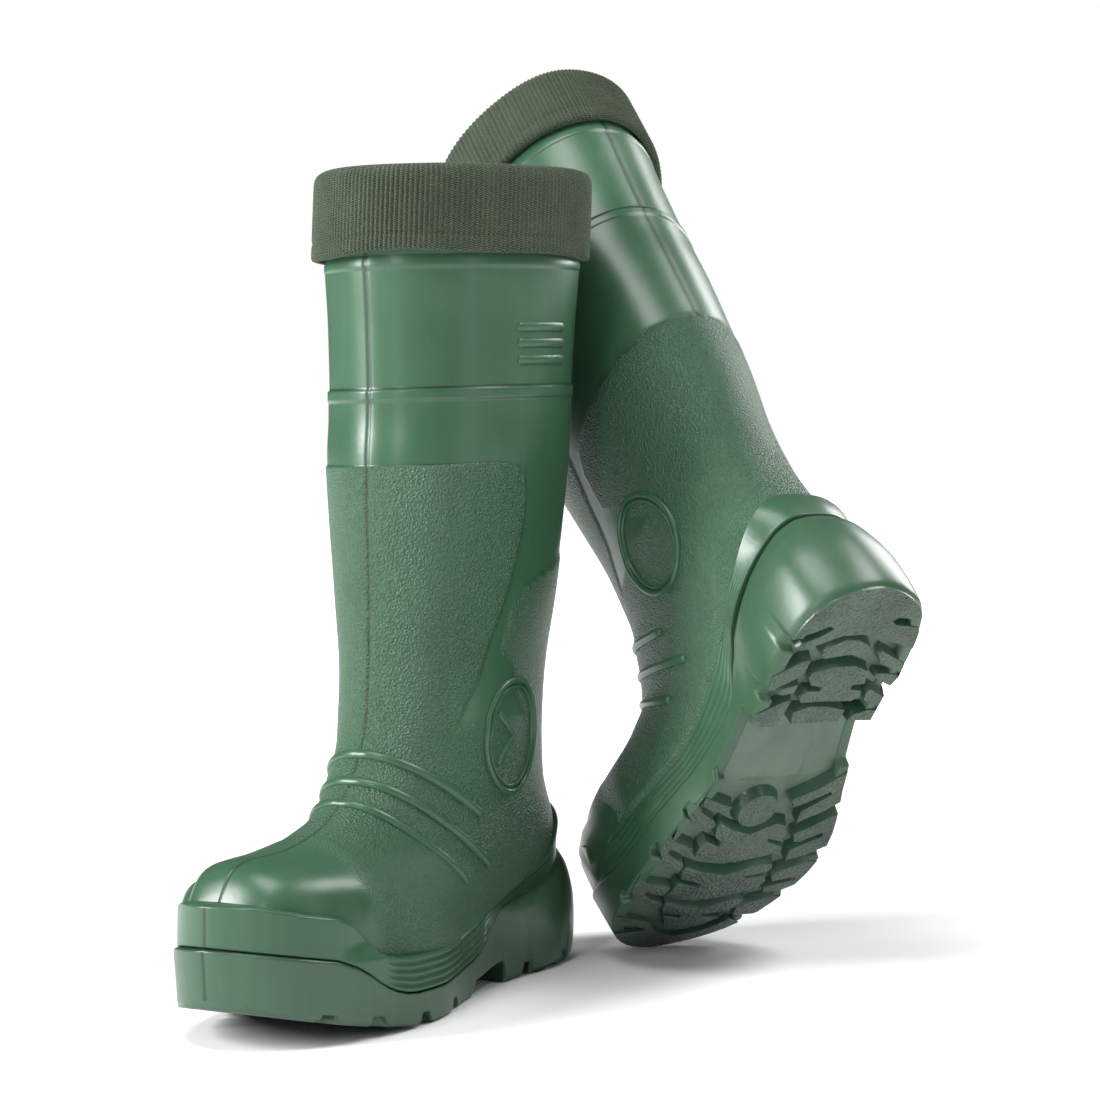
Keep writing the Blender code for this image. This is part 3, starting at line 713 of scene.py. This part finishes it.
# Painted shade in the bottoms of the waist's grooves, and down the seam at the toe.
upper_painted_shade = 0.55 * (1 - grooves[:, None]) ** 3 * depth[None, :] * skin_rows
upper_points[3:-5, :, 1] += 0.0004 * toe_seam[None, :]
upper_painted_shade = np.maximum(upper_painted_shade, 0.9 * toe_seam[None, :] * skin_rows)
for side in SIDES:
    grid_piece(side + "_sole_wall", side, sole_foam, closed_rows(lower_points),
               line=closed_rows(lower_painted_shade))
    grid_piece(side + "_upper_band", side, foam, closed_rows(upper_points),
               line=closed_rows(upper_painted_shade))

# %% [markdown]
# ## The tread
# The tread is a plate with lugs under it. The plate is a grid across the sole, extruded upward. Each
# lug starts as one flat face, is extruded into the plate with sloping sides, and gets a small bevel
# round its pebbled face. Walls and faces have separate finishes, because on the real sole only the
# faces are grained.

# %% tread plate
PLATE_START, PLATE_LENGTH, PLATE_TOP = -0.2113, 0.3050, 0.0158
EDGE_GAP = 0.0012                 # from the plate's edge to the sole's side wall


def tread_plate(side):
    """The plate under the sole, hollow at the arch, with a low slab across it."""
    mesh = bmesh.new()
    bmesh.ops.create_grid(mesh, x_segments=48, y_segments=150, size=0.5)
    for corner in mesh.verts:
        across, y = corner.co.x + 0.5, PLATE_START + (corner.co.y + 0.5) * PLATE_LENGTH
        inner, outer = inner_side(y) + EDGE_GAP, outer_side(y) - EDGE_GAP
        x = inner + (outer - inner) * across
        slab = smooth(-0.017, -0.015, -x) * smooth(0.024, 0.022, -x) * smooth(-0.055, -0.052, y)
        corner.co = (x, y, tread_root(y) - 0.0013 * slab * smooth(0.0, -0.004, y))
    raised = bmesh.ops.extrude_face_region(mesh, geom=mesh.faces[:])["geom"]
    for corner in raised:
        if isinstance(corner, bmesh.types.BMVert):
            corner.co.z = PLATE_TOP + 0.75 * toe_spring(corner.co.y)
    put_on_boot(mesh, side)
    return finish_mesh(mesh, side + "_tread_plate", side, [arch_skin], hard=40)


# %% corners of the lugs
# Seen from below, as (towards the big-toe side, y), in millimetres.
HEEL_LUGS = [
    [(-52, 36), (-43, 39), (-23, 49), (-22, 45), (-26, 39), (-42, 33), (-43, 30.5), (-34, 32),
     (-28, 32), (-27, 29), (-37, 24), (-54, 22)],
    [(-53, 15), (-46, 14), (-29, 20), (-27, 18), (-28, 12), (-36, 8.5), (-42, 6.5), (-42, 3.5),
     (-35, 4), (-27, 1), (-24, -4), (-52, -4)],
    [(-17, 47), (-12, 53), (-3, 57), (6, 57), (13, 53), (17, 46), (14, 43), (0, 46), (-14, 46)],
    [(-20, 34), (-9, 38), (4, 37), (17, 33), (17, 28), (13, 23), (5, 22), (5, 19), (14, 19),
     (17, 14), (14, 10), (0, 11), (-20, 11), (-24, 15), (-23, 19), (-15, 20), (-15, 23), (-23, 24)],
    [(-19, 4), (-6, 7), (6, 7), (16, 3), (13, -6), (-19, -5)],
    [(22, 42), (28, 41), (44, 30), (48, 29), (46, 20), (38, 20), (26, 28), (22, 33)],
    [(22, 24), (31, 21), (33, 17), (29, 16), (22, 18)],
    [(21, 12), (26, 11), (42, 2), (49, 0), (48, -6), (34, -8), (22, -8)],
]
OUTER_LUGS = [
    [(-56, -45), (-47, -46), (-30, -59), (-16, -67), (-20, -73), (-25, -71), (-41, -61),
     (-43, -63.5), (-27, -76.5), (-28, -86), (-42, -78), (-52, -70), (-58, -60)],
    [(-62, -81), (-52, -82), (-40, -90), (-31, -96), (-34, -102), (-38, -102.5), (-51, -95.5),
     (-53, -98.5), (-38, -106.5), (-34, -109), (-36, -119), (-48, -114), (-62, -107), (-63, -96)],
    [(-62, -121), (-52, -121), (-36, -129), (-34, -134), (-38, -139.5), (-52, -135.5),
     (-53.5, -138.5), (-38, -143.5), (-35, -146), (-38, -151), (-50, -149), (-60, -144),
     (-62, -132)],
    [(-57, -156), (-48, -156), (-30, -163), (-27, -167), (-30, -176), (-44, -175.5), (-53, -174),
     (-58, -164)],
]
MIDDLE_LUGS = [
    [(-22, -88), (-14, -86), (0, -94), (14, -90), (24, -84), (26, -88), (24, -95), (16, -101),
     (17, -103.5), (28, -98.5), (31, -103), (31, -111), (14, -116), (0, -118), (-20, -113),
     (-28, -109), (-27, -105.5), (-15, -101), (-14, -98.5), (-25, -101.5), (-25, -94)],
    [(-28, -121), (-16, -122), (0, -130), (18, -126), (32, -120), (33, -124), (30, -132),
     (12, -138.5), (13, -141.5), (30, -135.5), (31, -148), (14, -153), (0, -155), (-14, -152),
     (-30, -146), (-32, -138), (-29, -133), (-16, -135.5), (-15, -133), (-29, -129), (-30, -125)],
    [(-27, -157), (-20, -157), (0, -167), (16, -163), (28, -156), (28, -160), (24, -168),
     (8, -172.5), (8.5, -175.5), (21, -173), (13, -186), (0, -190), (-13, -186), (-21, -177),
     (-6, -175.5), (-5.5, -172.5), (-24, -169.5), (-27, -163)],
]
INNER_LUGS = [
    [(23, -71), (32, -68), (48, -62), (60, -52), (63, -47), (63, -60), (59, -68), (50.7, -76.6),
     (42.4, -84), (31.6, -90.7), (28, -86), (30, -82), (33.2, -80), (42.4, -74), (48.2, -67.6),
     (46.6, -65.6), (39, -69.5), (28, -75), (25, -75.3)],
    [(35, -104), (41.6, -101), (50.7, -97.5), (58, -92), (63, -86), (63, -98), (60, -104),
     (53, -110.8), (46.6, -117.4), (35.3, -125), (34.6, -119), (37.4, -115), (45, -111.4),
     (51.6, -105.8), (50.3, -103.7), (42.4, -107.2), (35.8, -109)],
    [(33, -141), (40, -139), (50.7, -136.5), (57.4, -132), (62, -126), (62, -137), (58, -143),
     (54, -148), (46.6, -153), (40, -157.4), (30.3, -163.3), (29.6, -158), (34, -155),
     (41.6, -151.4), (47.8, -146), (46.6, -143.7), (39, -147.2), (34, -148.3)],
]
ROUND_LUG = [(3.5 + 12.5 * math.cos(turn), -75 + 12.5 * math.sin(turn))
             for turn in np.linspace(0, 2 * math.pi, 36, endpoint=False)]


def edge_run(keep):
    """Corners on the sole's edge, from the outer side to the inner side, where keep says so."""
    run = [(-1000 * x, 1000 * y) for x, y in fine_sole[::4] if keep(-x, y)]
    return [(inner, y) for inner, y in sorted(run)]


heel_pad = edge_run(lambda inner, y: y > (0.0725 if inner < 0 else 0.0580)) + [
    (42, 57), (21, 67), (18, 65), (24, 60), (34, 54.5), (36, 51), (24, 53), (10, 60), (-2, 61),
    (-16, 60), (-28, 55), (-38, 52), (-46, 50), (-45, 58), (-42, 64), (-38, 66.5), (-22, 68.5),
    (-19, 71), (-22, 73.5), (-38, 71.8)]
toe_front = edge_run(lambda inner, y: y < (-0.1810 if inner < 0 else -0.1890))
toe_side = edge_run(lambda inner, y: inner > 0 and -0.1830 < y < -0.1640)
toe_pad = toe_front + [(28, -190), (25, -187.5), (28, -185.5)] + toe_side + [
    (50.7, -170), (36.6, -175), (26.6, -179), (22, -186), (14, -193), (0, -198), (-15, -194),
    (-25, -186), (-30, -180)]


# %% lugs
def prism(mesh, corners, drift, slope=0.0014, soften=0.0005):
    """A lug from the corners of its face, kept within the sole.

    Its root is wider by slope, drifts to the heel and stays inside the sole's edge.
    """
    points = []
    for inner, y in corners:
        at = y / 1000
        outer_limit, inner_limit = -outer_side(at) + 0.0006, -inner_side(at) - 0.0006
        points.append((-min(max(inner / 1000, outer_limit), inner_limit), at))
    face = mesh.faces.new([mesh.verts.new((x, y, toe_spring(y))) for x, y in points])
    rim = list(face.edges)
    raised = bmesh.ops.extrude_face_region(mesh, geom=[face])["geom"]
    roots = [part for part in raised if isinstance(part, bmesh.types.BMVert)]
    centre = np.mean(points, axis=0)
    for root in roots:
        away = Vector((root.co.x - centre[0], root.co.y - centre[1], 0))
        root.co += away.normalized() * slope
        root.co.y += drift
        limit = (inner_side(root.co.y) + 0.0004, outer_side(root.co.y) - 0.0004)
        root.co.x = min(max(root.co.x, limit[0]), limit[1])
        root.co.z = tread_root(root.co.y) + 0.0012
    bmesh.ops.bevel(mesh, geom=rim, offset=soften, offset_type="OFFSET", affect="EDGES",
                    segments=2, profile=0.5, material=-1, clamp_overlap=True)


def lug_piece(side):
    """All the lugs of one sole: pebbled faces first, smooth walls second among the finishes."""
    mesh = bmesh.new()
    for corners in HEEL_LUGS:
        prism(mesh, corners, 0.0015)
    for corners in OUTER_LUGS + MIDDLE_LUGS + INNER_LUGS:
        prism(mesh, corners, 0.0028)
    prism(mesh, ROUND_LUG, 0.0005, slope=0.0030)
    prism(mesh, heel_pad, 0.0, slope=0.0)
    prism(mesh, toe_pad, 0.0, slope=0.0)
    bmesh.ops.recalc_face_normals(mesh, faces=mesh.faces)
    for face in mesh.faces:
        level = face.normal.z < -0.93 and len(face.verts) > 5
        face.material_index = 0 if level else 1
    put_on_boot(mesh, side)
    return finish_mesh(mesh, side + "_tread_lugs", side, [tread_face, tread_wall],
                       hard=28)


for side in SIDES:
    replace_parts(tread_plate(side), side + "_outsole")
    lug_piece(side)

# %% [markdown]
# ## Raised beads
# Ridges over the instep, three short bars high on the outer side and an oval frame at each ankle
# are all rounded beads that lie on the shell. A bead is a grid wrapped into a tube round a line of
# points on the skin, flattened against it and narrowed to a point at both ends.

# %% beads
def bead(name, side, path, normals, width, height, closed=False):
    """A rounded bead on the skin along path, width across and height above it."""
    path, normals = np.array(path), np.array(normals)
    count = len(path)
    if closed:
        ahead = np.roll(path, -1, axis=0) - np.roll(path, 1, axis=0)
    else:
        ahead = np.gradient(path, axis=0)
    ahead /= np.linalg.norm(ahead, axis=1)[:, None]
    across = np.cross(ahead, normals)
    across /= np.linalg.norm(across, axis=1)[:, None]
    turns = np.linspace(0, 2 * math.pi, 17)
    size = np.ones(count)
    if not closed:
        step = np.concatenate([[0], np.cumsum(np.linalg.norm(np.diff(path, axis=0), axis=1))])
        ends = np.minimum(step, step[-1] - step) / (width * 0.6)
        size = np.sqrt(np.clip(1 - (1 - np.clip(ends, 0, 1)) ** 2, 0, 1))
    ring = (across[:, None] * np.cos(turns)[None, :, None] * width / 2
            + normals[:, None] * np.sin(turns)[None, :, None] * height) * size[:, None, None]
    points = path[:, None] + ring
    if closed:
        points = closed_rows(points)
    return grid_piece(name, side, foam, points)


def on_side(y, z, sign):
    """Point and normal of the shell at y, z, seen from the outer (+1) or the inner (-1) side."""
    return cast(skin_tree, (sign * 0.2, y, z), (-sign, 0, 0))


def ridge_path(front_y, front_z, end_x, end_y, end_z):
    """Across the instep in one slanted plane, from side to side."""
    slope = (front_z - end_z) / (front_y - end_y)
    widest = math.atan2(end_x, 0.0005)      # just short of a quarter turn to either side
    path, normals = [], []
    for turn in np.linspace(-widest, widest, 90):
        out = np.array([math.sin(turn), -math.cos(turn)])
        start = np.array([0.2 * out[0], end_y + 0.2 * out[1]])
        height = end_z + slope * (start[1] - end_y)
        way = np.array([-out[0], -out[1], -slope * out[1]])
        hit = cast(skin_tree, (*start, height), way)
        if hit:
            path.append(hit[0])
            normals.append(hit[1])
    return path, normals


RIDGES = [(-0.0805, 0.1375, 0.050, -0.025, 0.098), (-0.0905, 0.1245, 0.050, -0.019, 0.069),
          (-0.1010, 0.1140, 0.049, -0.046, 0.063)]
ridge_lines = [ridge_path(*ridge) for ridge in RIDGES]
for side in SIDES:
    for number, (path, normals) in enumerate(ridge_lines, 1):
        bead(f"{side}_instep_ridge_{number}", side, path, normals, 0.0052, 0.0018)
print("ridges of", [len(path) for path, _ in ridge_lines], "points")

# %% bars on the outer side of the leg
BAR_HEIGHTS = (0.371, 0.362, 0.3525)
for side in SIDES:
    for number, height in enumerate(BAR_HEIGHTS, 1):
        hits = []
        for turn in np.radians(np.linspace(-23, 21, 40)):
            out = np.array([math.cos(turn), math.sin(turn)])
            hits.append(cast(skin_tree, (out[0] * 0.2, 0.024 + out[1] * 0.2, height),
                             (-out[0], -out[1], 0)))
        bead(f"{side}_leg_bar_{number}", side, [hit[0] for hit in hits], [hit[1] for hit in hits],
             0.0056, 0.0013)


# %% oval frames at the ankle
def oval_line(half_y, half_z, sign, count=96):
    """Points and normals of the skin round an oval, on the outer (+1) or inner (-1) side."""
    found = []
    for turn in np.linspace(0, 2 * math.pi, count, endpoint=False):
        found.append(on_side(0.005 + half_y * math.cos(turn), 0.140 + half_z * math.sin(turn), sign))
    return [hit[0] for hit in found], [hit[1] for hit in found]


def straight_line(start, end, sign, count=24):
    """Points and normals of the skin between two places, each given as y and z."""
    found = [on_side(*(np.array(start) + (np.array(end) - start) * t), sign)
             for t in np.linspace(0, 1, count)]
    return [hit[0] for hit in found], [hit[1] for hit in found]


for side in SIDES:
    for face, sign in (("outer", 1), ("inner", -1)):
        bead(f"{side}_{face}_oval_rim", side, *oval_line(0.026, 0.032, sign), 0.0036, 0.0021,
             closed=True)
        bead(f"{side}_{face}_oval_line", side, *oval_line(0.0225, 0.0285, sign), 0.0018, 0.0012,
             closed=True)
    for number, (start, end) in enumerate([((-0.010, 0.155), (0.006, 0.140)),
                                           ((0.006, 0.140), (-0.010, 0.125))], 1):
        bead(f"{side}_oval_chevron_{number}", side, *straight_line(start, end, 1), 0.0046, 0.0018)

# %% [markdown]
# ## The knitted cuff
# The cuff is a ribbed knit tube that comes up out of the liner, folds over the rim and hangs down
# outside. The ribs are real relief, because they show on the outline of the fold. A knit tube has
# one closed profile here: down the outside, under the hem, up the back of the cloth, over the fold
# inside, and back. Row and rib numbers in the weave coordinates carry the stitches.

# %% cuff
CUFF_TOP, CUFF_HEM, LINER_TOP = 0.462, 0.412, 0.4355
RIM = LEG[0]


def rounded(corners, radius, count):
    """A closed line through corners, each cut by an arc-like curve, at even spacing."""
    corners = np.array(corners, float)
    parts = []
    for k in range(len(corners)):
        before, here, after = corners[k - 1], corners[k], corners[(k + 1) % len(corners)]
        size = min(radius[k], np.linalg.norm(before - here) / 2, np.linalg.norm(after - here) / 2)
        a = here + (before - here) / np.linalg.norm(before - here) * size
        b = here + (after - here) / np.linalg.norm(after - here) * size
        t = np.linspace(0, 1, 10)[:, None]
        parts.append((1 - t) ** 2 * a + 2 * t * (1 - t) * here + t ** 2 * b)
    dense = np.vstack(parts + [parts[0][:1]])
    step = np.concatenate([[0], np.cumsum(np.linalg.norm(np.diff(dense, axis=0), axis=1))])
    at = np.linspace(0, step[-1], count)
    return np.stack([np.interp(at, step, dense[:, 0]), np.interp(at, step, dense[:, 1])], axis=1)


CLOTH = 0.0056                    # thickness of the knit
FOLD_UNDER = CUFF_TOP - 0.0060    # where the back of the cloth turns over the rim
inner_face = -0.0050 * 1.12 - 0.0013 - CLOTH
cuff_line = rounded([(0.0066, CUFF_HEM), (0.0066, CUFF_TOP), (inner_face, CUFF_TOP),
                     (inner_face, LINER_TOP), (inner_face + 0.0050, LINER_TOP),
                     (inner_face + CLOTH, FOLD_UNDER), (0.0012, FOLD_UNDER), (0.0012, CUFF_HEM)],
                    [0.0030, 0.0080, 0.0080, 0.002, 0.002, 0.002, 0.002, 0.0012], 86)
PER_RIB = 6
cuff_turns = np.linspace(0, 2 * math.pi, RIBS * PER_RIB + 1)
cuff_out, cuff_z = cuff_line[:, 0][:, None], cuff_line[:, 1][:, None]
facing = smooth(0.0012, 0.0050, cuff_out) + smooth(FOLD_UNDER, CUFF_TOP - 0.001, cuff_z)
facing = np.clip(facing + smooth(inner_face + 0.0030, inner_face, cuff_out), 0, 1)
ribbing = (0.5 + 0.5 * np.cos(cuff_turns * RIBS))[None, :]
hem_row = bump(cuff_z, CUFF_HEM + 0.0095, 0.0016)
soft = 0.0006 * np.sin(3 * cuff_turns + 1.0) + 0.0005 * np.sin(7 * cuff_turns + 2.2)
hem_dip = 0.0016 * np.sin(2 * cuff_turns + 0.6) + 0.0008 * np.sin(5 * cuff_turns)
out = cuff_out + facing * (0.0009 * (ribbing - 1) - 0.0009 * hem_row) + soft[None, :] * facing
z_cuff = cuff_z + hem_dip[None, :] * smooth(CUFF_TOP - 0.01, CUFF_HEM, cuff_z) * (cuff_out > 0)
middle_y, half_y = (RIM[0] + RIM[2]) / 2, (RIM[2] - RIM[0]) / 2
cuff_points = np.stack([
    np.sin(cuff_turns)[None, :] * (RIM[4] + out),
    middle_y - np.cos(cuff_turns)[None, :] * (half_y + out) + 0.117 * (z_cuff - 0.440), z_cuff],
    axis=2)
for side in SIDES:
    cuff = grid_piece(side + "_cuff", side, knit, cuff_points)
    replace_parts(cuff, side + "_liner_cuff")

# %% [markdown]
# ## The liner and the footbed
# Only the pile inside the mouth of the boot shows, but the liner is a whole sock: felt outside and
# pile inside. Both come from the same sections as the shell, moved inward, and closed at the toe.

# %% liner layers
SOCK_COLUMNS = 129


def sock(name, side, finish, outside, inside, fuzz):
    """A sock inside the shell between two depths, each given as wall and floor."""
    turns = np.linspace(0, 2 * math.pi, SOCK_COLUMNS)
    layers = []
    for wall, floor in (outside, inside):
        at = np.linspace(0.12, len(PLAIN) - 2.3, 120)
        skin = surface(PLAIN, at, turns, wall, floor)
        skin[0, :, 2] = LINER_TOP
        tip = np.repeat(skin[-1:].mean(axis=1, keepdims=True), SOCK_COLUMNS, axis=1)
        layers.append(np.concatenate([skin, tip]))
    layers[1][:, :, 0] += fuzz * np.sin(layers[1][:, :, 2] * 900) * np.cos(turns * 40)[None, :]
    points = np.concatenate([layers[0][::-1], layers[1]])
    return grid_piece(name, side, finish, points)


for side in SIDES:
    outer_sock = sock(side + "_felt_sock", side, felt, (0.0064, 0.0175),
                      (0.0094, 0.0205), 0)
    inner_sock = sock(side + "_pile_sock", side, pile, (0.0100, 0.0215),
                      (0.0136, 0.0250), 0.0003)
    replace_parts(outer_sock, side + "_liner_felt")
    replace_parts(inner_sock, side + "_liner_pile")
    insole = frame["nodes"][side + "_insole"]
    insole.data.materials.clear()
    insole.data.materials.append(footbed)

# %% [markdown]
# ## Floor, light and camera
# The floor and the surround are plain and white, and the floor glows more and more with distance, so
# that no horizon shows. A strong soft light stands at the front left and a narrow one in front, for
# the long highlights down the legs. A weak one fills in from the right, two from behind catch the
# tipped shaft, and one from above lights the toes.

# %% floor
def plain_floor():
    """The floor, a little under the soles, which isn't part of the object."""
    finish, shader, node, link = new_finish("studio_floor")
    shader.inputs["Base Color"].default_value = (0.90, 0.90, 0.90, 1.0)
    shader.inputs["Roughness"].default_value = 0.8
    shader.inputs["Emission Color"].default_value = (1.0, 1.0, 1.0, 1.0)
    where = node("TexCoord").outputs["Object"]
    away = node("VectorMath", {0: where}, operation="LENGTH").outputs["Value"]
    glow = node("MapRange", {"Value": away, "From Min": 0.35, "From Max": 1.6, "To Max": 1.3})
    link(glow.outputs["Result"], "Emission Strength")
    mesh = bmesh.new()
    bmesh.ops.create_grid(mesh, x_segments=2, y_segments=2, size=8.0)
    bmesh.ops.translate(mesh, vec=(0, 0, -0.0008), verts=mesh.verts)
    data = bpy.data.meshes.new("studio_floor")
    mesh.to_mesh(data)
    mesh.free()
    data.materials.append(finish)
    floor = bpy.data.objects.new("studio_floor", data)
    bpy.context.scene.collection.objects.link(floor)


plain_floor()

# %% surround
world = bpy.data.worlds.new("studio")
bpy.context.scene.world = world
world.use_nodes = True
nodes, links = world.node_tree.nodes, world.node_tree.links
shown, filling = nodes["Background"], nodes.new("ShaderNodeBackground")
for background, strength in ((shown, 1.0), (filling, 0.12)):
    background.inputs["Color"].default_value = (1.0, 1.0, 1.0, 1.0)
    background.inputs["Strength"].default_value = strength
choose = nodes.new("ShaderNodeMixShader")
path = nodes.new("ShaderNodeLightPath")
links.new(path.outputs["Is Camera Ray"], choose.inputs[0])
links.new(filling.outputs[0], choose.inputs[1])
links.new(shown.outputs[0], choose.inputs[2])
links.new(choose.outputs[0], nodes["World Output"].inputs["Surface"])


# %% lights
def soft_light(name, place, target, width, height, power):
    """A rectangular light at place, turned to target."""
    data = bpy.data.lights.new(name, "AREA")
    data.shape = "RECTANGLE"
    data.size, data.size_y, data.energy = width, height, power
    lamp = bpy.data.objects.new(name, data)
    bpy.context.scene.collection.objects.link(lamp)
    lamp.location = place
    lamp.rotation_euler = (Vector(target) - Vector(place)).to_track_quat("-Z", "Y").to_euler()


soft_light("key_left", (-1.3, -1.5, 1.1), (0, 0, 0.25), 0.55, 1.1, 66)
soft_light("front_strip", (0.25, -2.0, 1.2), (0, 0, 0.25), 0.22, 1.2, 10)
soft_light("right_fill", (2.0, -0.3, 0.9), (0.1, 0, 0.25), 0.35, 1.2, 3)
soft_light("top_back", (1.0, 0.6, 1.9), (0.1, 0, 0.3), 1.0, 0.8, 26)
soft_light("back_strip", (0.3, 1.9, 1.0), (0.1, 0, 0.3), 0.5, 1.0, 16)
soft_light("top_front", (-0.1, -0.6, 2.0), (0, 0, 0.1), 0.9, 0.7, 18)

# %% camera
eye = Vector(left_origin) + Vector((0.90947, -1.37863, 0.33897))
swing, tilt, lean = math.radians(31.122), math.radians(86.701), math.radians(-1.570)
camera = bpy.data.objects.new("camera", bpy.data.cameras.new("camera"))
bpy.context.scene.collection.objects.link(camera)
camera.data.sensor_width = 36.0
camera.data.lens = 94.43
camera.data.clip_end = 50.0
camera.matrix_world = (Matrix.Translation(eye) @ Matrix.Rotation(swing, 4, "Z")
                       @ Matrix.Rotation(tilt, 4, "X") @ Matrix.Rotation(lean, 4, "Z"))
bpy.context.scene.camera = camera
bpy.context.scene.view_settings.view_transform = "Standard"
